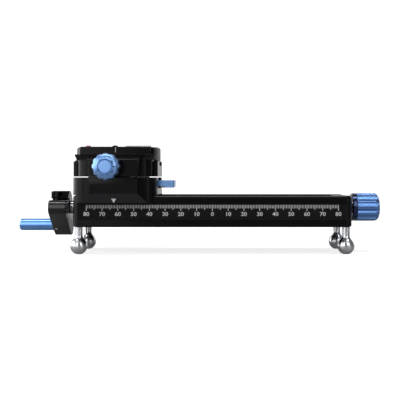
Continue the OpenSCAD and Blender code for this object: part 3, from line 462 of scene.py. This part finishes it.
foot_outline += [(0, NECK_R), (0, STUD_R), (STUD_TOP, STUD_R), (STUD_TOP, 0)]
for name, sx, sy in (("front_left", -1, -1), ("front_right", 1, -1),
                     ("rear_left", -1, 1), ("rear_right", 1, 1)):
    foot = spun(foot_outline, steps=64)
    bmesh.ops.rotate(foot, verts=foot.verts, cent=(0, 0, 0), matrix=Matrix.Rotation(-math.pi / 2, 3, "Y"))
    bmesh.ops.translate(foot, verts=foot.verts, vec=(sx * FOOT_X, sy * FOOT_Y, 0))
    made = piece(name + "_ball_foot", foot, polished, "rail", "polished_steel", name + "_foot")
    made.data.set_sharp_from_angle(angle=math.radians(40))


# ---------- carriage ----------
# The lower block hangs over the rail like a saddle. Its front panel carries the pointer of
# the scale. Bronze bushes run on the rods, and a bronze half nut sits on the screw.
# The top face and the front panel have finishes of their own; the part below the crease is a paler copy of
# the black, painted light.

TOP_FACE_ABOVE = 31 * MM
PANEL_Y = -33.9 * MM
SKIRT_Y = -31 * MM
saddle = machined("carriage_block", "carriage_saddle", black_anodised, "carriage", "black_anodised",
                  0.12 * MM)
refinish(saddle, dull_black, lambda face: face.normal.z > 0.9 and face.center.z > TOP_FACE_ABOVE)
panel_black = blasted_black("black_anodised_panel", "#0b0b0d", "#0e0e10", FINE_GRAIN, 0.12, 0.14)
refinish(saddle, panel_black, lambda face: face.normal.y < -0.99 and face.center.y < PANEL_Y)
# Painted light: the face below the crease that tilts down is painted a paler black than the rest of the
# block.
crease_painted_light = blasted_black("black_anodised_crease_painted_light", "#18181a", "#1c1c1e", FINE_GRAIN, 0.3, 0.15)
refinish(saddle, crease_painted_light, lambda face: face.normal.y < -0.9 and -0.3 < face.normal.z < -0.2
         and face.center.y < SKIRT_Y)

sintered_bronze, tree, shader = start_material("sintered_bronze", {"Metallic": 1.0})
place = add(tree, "ShaderNodeTexCoord").outputs["Object"]
voronoi = add(tree, "ShaderNodeTexVoronoi", {}, {"Vector": place, "Scale": 1 / (0.6 * MM)})
pores = voronoi.outputs["Distance"]
mottled(tree, shader, pores, "#7d5a2c", "#b58a4c", pores, 0.5, 0.3)
finish_node(sintered_bronze, "front_rod_bushes", "rear_rod_bushes", "half_nut")

CREASE_Z_MM = 21.5
ARROW_Y_MM = 34.02
PANEL_LEAN = math.tan(math.radians(14))
arrow = bmesh.new()
tip = [arrow.verts.new((x * MM, -(ARROW_Y_MM - PANEL_LEAN * (CREASE_Z_MM - z)) * MM, z * MM))
       for x, z in ((-63.4, 18.3), (-60.2, 18.3), (-61.8, 15.6))]
thick = bmesh.ops.extrude_face_region(arrow, geom=[arrow.faces.new(tip)])
back = [g for g in thick["geom"] if isinstance(g, bmesh.types.BMVert)]
bmesh.ops.translate(arrow, verts=back, vec=(0, 0.1 * MM, 0))
bmesh.ops.recalc_face_normals(arrow, faces=arrow.faces)
piece("scale_pointer", arrow, engraving_paint, "carriage", "black_anodised").data.shade_flat()


# ---------- quick shift lever ----------
# A blue tongue under the clamp that lifts the half nut off the screw when it is pressed. It
# turns on a steel pin and two small springs push it back.

plate_blue = blue_dyed("lever_blue", "Y", (-44 * MM, 0, 27.9 * MM))
machined("shift_lever", "quick_lever", plate_blue, "lever", "blue_anodised", 0.35 * MM, 3, True)

spring_steel = turned_steel("spring_steel", "#a9acb2", "#85888e", 0.25, "Z", (0, 0, 0), 0.4 * MM, 0.004 * MM)


def coil(bm, wire, radius, length, turns, matrix):
    """Adds a spring of round wire: a helix along X from the origin, placed by the matrix."""
    spring = bmesh.new()
    octagon = [(wire * math.sin(a * math.pi / 4), radius + wire * math.cos(a * math.pi / 4))
               for a in range(8)]
    helix(spring, octagon, (length - 2 * wire) / turns, turns, wire, 20)
    bmesh.ops.transform(spring, matrix=matrix, verts=spring.verts)
    mesh = bpy.data.meshes.new("coil")
    spring.to_mesh(mesh)
    spring.free()
    bm.from_mesh(mesh)
    bpy.data.meshes.remove(mesh)


coils = bmesh.new()
for y in (-9, 9):
    upright = Matrix.Translation((-39.4 * MM, y * MM, 22.35 * MM)) @ Matrix.Rotation(-math.pi / 2, 4, "Y")
    coil(coils, wire=0.28 * MM, radius=1.2 * MM, length=3 * MM, turns=4, matrix=upright)
piece("lever_coils", coils, spring_steel, "carriage", "ground_steel", "lever_springs")


# ---------- pan bearing ----------
# A blacked steel disc that the clamp turns on, with a thin slide ring on it; only their edges
# show in the gap.

finish_node(dull_black, "pan_hub")
CARRIAGE_X_MM = -62
RING_LOW, RING_HIGH = 32.02 * MM, 32.18 * MM
RING_IN, RING_OUT = 12 * MM, 20.2 * MM
slide_ring = spun([(RING_LOW, RING_IN), (RING_LOW, RING_OUT), (RING_HIGH, RING_OUT),
                   (RING_HIGH, RING_IN)], steps=96, closed=True)
upright = Matrix.Translation((CARRIAGE_X_MM * MM, 0, 0)) @ Matrix.Rotation(math.radians(-90), 4, "Y")
bmesh.ops.transform(slide_ring, matrix=upright, verts=slide_ring.verts)
piece("pan_slide_ring", slide_ring, dull_black, "carriage", "black_anodised").data.shade_flat()
pan_steel = turned_steel("pan_steel", "#b4b7bb", "#94979c", 0.28, "Z",
                         (CARRIAGE_X_MM * MM, 0, 0), 0.5 * MM, 0.01 * MM)
finish_node(pan_steel, "pan_retainer")


# ---------- clamp ----------
# The turning clamp: a base and a round deck with the fixed half of the dovetail, screwed
# together, and the same black finish.

base = machined("clamp_body", "clamp_base", black_anodised, "clamp", "black_anodised", 0.12 * MM)
refinish(base, dull_black, lambda face: face.normal.z < -0.9)
machined("clamp_plate", "clamp_deck", black_anodised, "clamp", "black_anodised", 0.2 * MM)
coils = bmesh.new()
for sx in (-1, 1):
    spot = Matrix.Translation(((CARRIAGE_X_MM + sx * 22.4) * MM, -10 * MM, 37.7 * MM))
    forward = spot @ Matrix.Rotation(-math.pi / 2, 4, "Z")
    coil(coils, wire=0.33 * MM, radius=1.6 * MM, length=4 * MM, turns=4, matrix=forward)
piece("jaw_coils", coils, spring_steel, "clamp", "ground_steel", "jaw_springs")


# ---------- clamp jaw ----------
# The front half of the dovetail slides on two pins. A ribbed rubber strip, a stop pin and a
# small red button sit in its lip, and a white line marks the middle.

machined("sliding_jaw", "clamp_jaw", black_anodised, "jaw", "black_anodised", 0.2 * MM)

moulded_rubber, tree, shader = start_material("moulded_rubber", {"Specular IOR Level": 0.3})
place = add(tree, "ShaderNodeTexCoord").outputs["Object"]
noise = add(tree, "ShaderNodeTexNoise", {}, {"Vector": place, "Scale": 1 / (0.8 * MM), "Detail": 3})
bloom = noise.outputs["Fac"]
mottled(tree, shader, bloom, "#131314", "#1d1d1f", bloom, 0.6, 0.8)
finish_node(moulded_rubber, "jaw_grip_strip")

red_moulding, tree, shader = start_material("red_moulding", {"Specular IOR Level": 0.5})
place = add(tree, "ShaderNodeTexCoord").outputs["Object"]
noise = add(tree, "ShaderNodeTexNoise", {}, {"Vector": place, "Scale": 1 / (1.5 * MM), "Detail": 2})
flow = noise.outputs["Fac"]
mottled(tree, shader, flow, "#7a2430", "#8c3340", flow, 0.3, 0.45)
finish_node(red_moulding, "release_button")

line = bmesh.new()
bar(line, (-62.25 * MM, -20.52 * MM, 47.6 * MM), (-61.85 * MM, -20.48 * MM, 50.9 * MM))
piece("index_line", line, engraving_paint, "jaw", "black_anodised").data.shade_flat()


# ---------- clamp knob ----------
# The same blue aluminium as the end knob, scalloped and turned with a fine groove in its
# face, on a steel screw.

CLAMP_AXIS = (-65.2 * MM, 0, 38.3 * MM)
SCALLOP_CUTS_MM = (-39.4, -40.2, -42, -44, -46, -47.4)
screw_steel = turned_steel("clamp_screw_steel", "#c4c6ca", "#9b9ea4", 0.24, "Y",
                           CLAMP_AXIS, 0.4 * MM, 0.01 * MM)
finish_node(screw_steel, "clamp_screw")
face_blue = blue_dyed("clamp_knob_blue", "Y", CLAMP_AXIS, 0.36, "#7aa3d8", "#6793cd")
scalloped = machined("scalloped_knob", "clamp_knob", face_blue, "clamp_knob", "blue_anodised", 0.3 * MM, 3)
ring_cuts(scalloped, Vector((0, 1, 0)), [y * MM for y in SCALLOP_CUTS_MM])


# ---------- studio ----------
# A white paper sweep that rises behind the object, soft boxes in front, on the left, behind on
# the right and overhead, a tall strip at each side, and the camera of the photograph. Metal
# sees the sweep bright behind the object and fainter in front of it.

BEHIND_FROM = 0.5
MIRROR_GLOW = 0.7
UNSEEN_IN_FRONT = 0.4
GLOW_FROM, GLOW_TO = 0.12, 0.5
NEAR_GLOW = 0.74
paper, tree, shader = start_material("floor_paper", {"Base Color": linear("#b4b4b4"), "Roughness": 0.9,
                                                     "Specular IOR Level": 0.1,
                                                     "Emission Color": (1, 1, 1, 1)})
seen = add(tree, "ShaderNodeLightPath").outputs
place = add(tree, "ShaderNodeTexCoord").outputs["Object"]
depth = add(tree, "ShaderNodeSeparateXYZ", {}, {0: place}).outputs["Y"]
behind = add(tree, "ShaderNodeMath", {"operation": "GREATER_THAN"}, {0: depth, 1: BEHIND_FROM}).outputs[0]
glow_behind = add(tree, "ShaderNodeMath", {"operation": "MULTIPLY"}, {0: behind, 1: MIRROR_GLOW}).outputs[0]
mirrored = add(tree, "ShaderNodeMath", {"operation": "MULTIPLY"},
               {0: seen["Is Glossy Ray"], 1: glow_behind}).outputs[0]
clear = add(tree, "ShaderNodeMath", {"operation": "MAXIMUM"},
            {0: seen["Is Camera Ray"], 1: mirrored}).outputs[0]
clear = add(tree, "ShaderNodeMath", {"operation": "MAXIMUM"},
            {0: clear, 1: seen["Is Transmission Ray"]}).outputs[0]
away = add(tree, "ShaderNodeVectorMath", {"operation": "LENGTH"}, {0: place}).outputs["Value"]
glow = add(tree, "ShaderNodeMapRange", {},
           {0: away, 1: GLOW_FROM, 2: GLOW_TO, 3: NEAR_GLOW, 4: 1.0}).outputs[0]
lift = add(tree, "ShaderNodeMath", {"operation": "MULTIPLY"}, {0: clear, 1: glow})
tree.links.new(lift.outputs[0], shader.inputs["Emission Strength"])
in_front = add(tree, "ShaderNodeMath", {"operation": "MULTIPLY_ADD"},
               {0: behind, 1: -UNSEEN_IN_FRONT, 2: UNSEEN_IN_FRONT}).outputs[0]
unseen = add(tree, "ShaderNodeMath", {"operation": "MULTIPLY"},
             {0: seen["Is Glossy Ray"], 1: in_front}).outputs[0]
empty = add(tree, "ShaderNodeBsdfTransparent")
cover = add(tree, "ShaderNodeMixShader", {}, {0: unseen, 1: shader.outputs[0], 2: empty.outputs[0]})
tree.links.new(cover.outputs[0], tree.nodes["Material Output"].inputs["Surface"])

SWEEP_FRONT = -0.42
SWEEP_BEND = 1.3
SWEEP_R = 0.4
SWEEP_HALF = 1.6
SWEEP_TOP = 1.6
BEND_STEPS = 12
sweep = bmesh.new()
profile = [(SWEEP_FRONT, FLOOR_Z)]
for i in range(BEND_STEPS + 1):
    angle = i * math.pi / (2 * BEND_STEPS)
    profile.append((SWEEP_BEND + SWEEP_R * math.sin(angle), FLOOR_Z + SWEEP_R * (1 - math.cos(angle))))
profile.append((SWEEP_BEND + SWEEP_R, SWEEP_TOP))
side_edge = [sweep.verts.new((-SWEEP_HALF, y, z)) for y, z in profile]
edges = [sweep.edges.new(pair) for pair in zip(side_edge, side_edge[1:])]
drawn = bmesh.ops.extrude_edge_only(sweep, edges=edges)
far_side = [g for g in drawn["geom"] if isinstance(g, bmesh.types.BMVert)]
bmesh.ops.translate(sweep, verts=far_side, vec=(2 * SWEEP_HALF, 0, 0))
mesh = bpy.data.meshes.new("floor")
sweep.to_mesh(mesh)
sweep.free()
mesh.shade_smooth()
mesh.materials.append(paper)
floor = bpy.data.objects.new("floor", mesh)
bpy.context.scene.collection.objects.link(floor)

world = bpy.data.worlds.new("studio")
bpy.context.scene.world = world
world.use_nodes = True
tree = world.node_tree
background = tree.nodes["Background"]
seen = add(tree, "ShaderNodeLightPath").outputs
clear = add(tree, "ShaderNodeMath", {"operation": "MAXIMUM"},
            {0: seen["Is Camera Ray"], 1: seen["Is Transmission Ray"]}).outputs[0]
tone = add(tree, "ShaderNodeMix", {"data_type": "RGBA"},
           {0: clear, 6: (0.2, 0.2, 0.205, 1), 7: (1, 1, 1, 1)})
tree.links.new(tone.outputs[2], background.inputs["Color"])


def soft_box(name, place, aim, size, watts):
    """A square or long soft box that looks at a point."""
    lamp = bpy.data.lights.new(name, "AREA")
    lamp.shape = "RECTANGLE"
    lamp.size, lamp.size_y = size
    lamp.energy = watts
    made = bpy.data.objects.new(name, lamp)
    made.location = place
    made.rotation_euler = (Vector(aim) - Vector(place)).to_track_quat("-Z", "Y").to_euler()
    bpy.context.scene.collection.objects.link(made)


soft_box("front_left_soft_box", (-0.235, -0.45, 0.2425), (-0.235, 0, 0.2425), (0.24, 0.515), 0.97)
soft_box("front_right_soft_box", (0.27, -0.45, 0.31), (0.27, 0, 0.31), (0.3, 0.46), 1.1)
soft_box("left_strip", (-0.7, -0.66, 0), (-0.08, 0, 0), (0.13, 1.2), 1.1)
soft_box("right_strip", (0.68, -0.62, 0), (0, 0, 0), (0.13, 1.2), 1.1)
soft_box("left_soft_box", (-0.62, 0.02, 0.22), (0, 0.02, 0.22), (1.1, 0.54), 4.8)
soft_box("right_soft_box", (0.9, 0.9, 0.3), (0, 0, 0.02), (0.8, 0.8), 1.6)
soft_box("top_soft_box", (0, -0.05, 0.8), (0, 0, 0), (1.0, 0.2), 5.2)

FOCAL_PIXELS = 852
FRAME_PIXELS = 400
CENTRE_X, CENTRE_Y = 212.4, 177
SENSOR = 36
camera_data = bpy.data.cameras.new("camera")
camera_data.sensor_width = SENSOR
camera_data.lens = FOCAL_PIXELS / FRAME_PIXELS * SENSOR
camera_data.shift_x = (FRAME_PIXELS / 2 - CENTRE_X) / FRAME_PIXELS
camera_data.shift_y = (CENTRE_Y - FRAME_PIXELS / 2) / FRAME_PIXELS
camera_data.clip_start = 0.01
camera = bpy.data.objects.new("camera", camera_data)
camera.location = (0, -566 * MM, 31.9 * MM)
camera.rotation_euler = (math.pi / 2, 0, 0)
bpy.context.scene.collection.objects.link(camera)
bpy.context.scene.camera = camera
bpy.context.scene.view_settings.view_transform = "Standard"
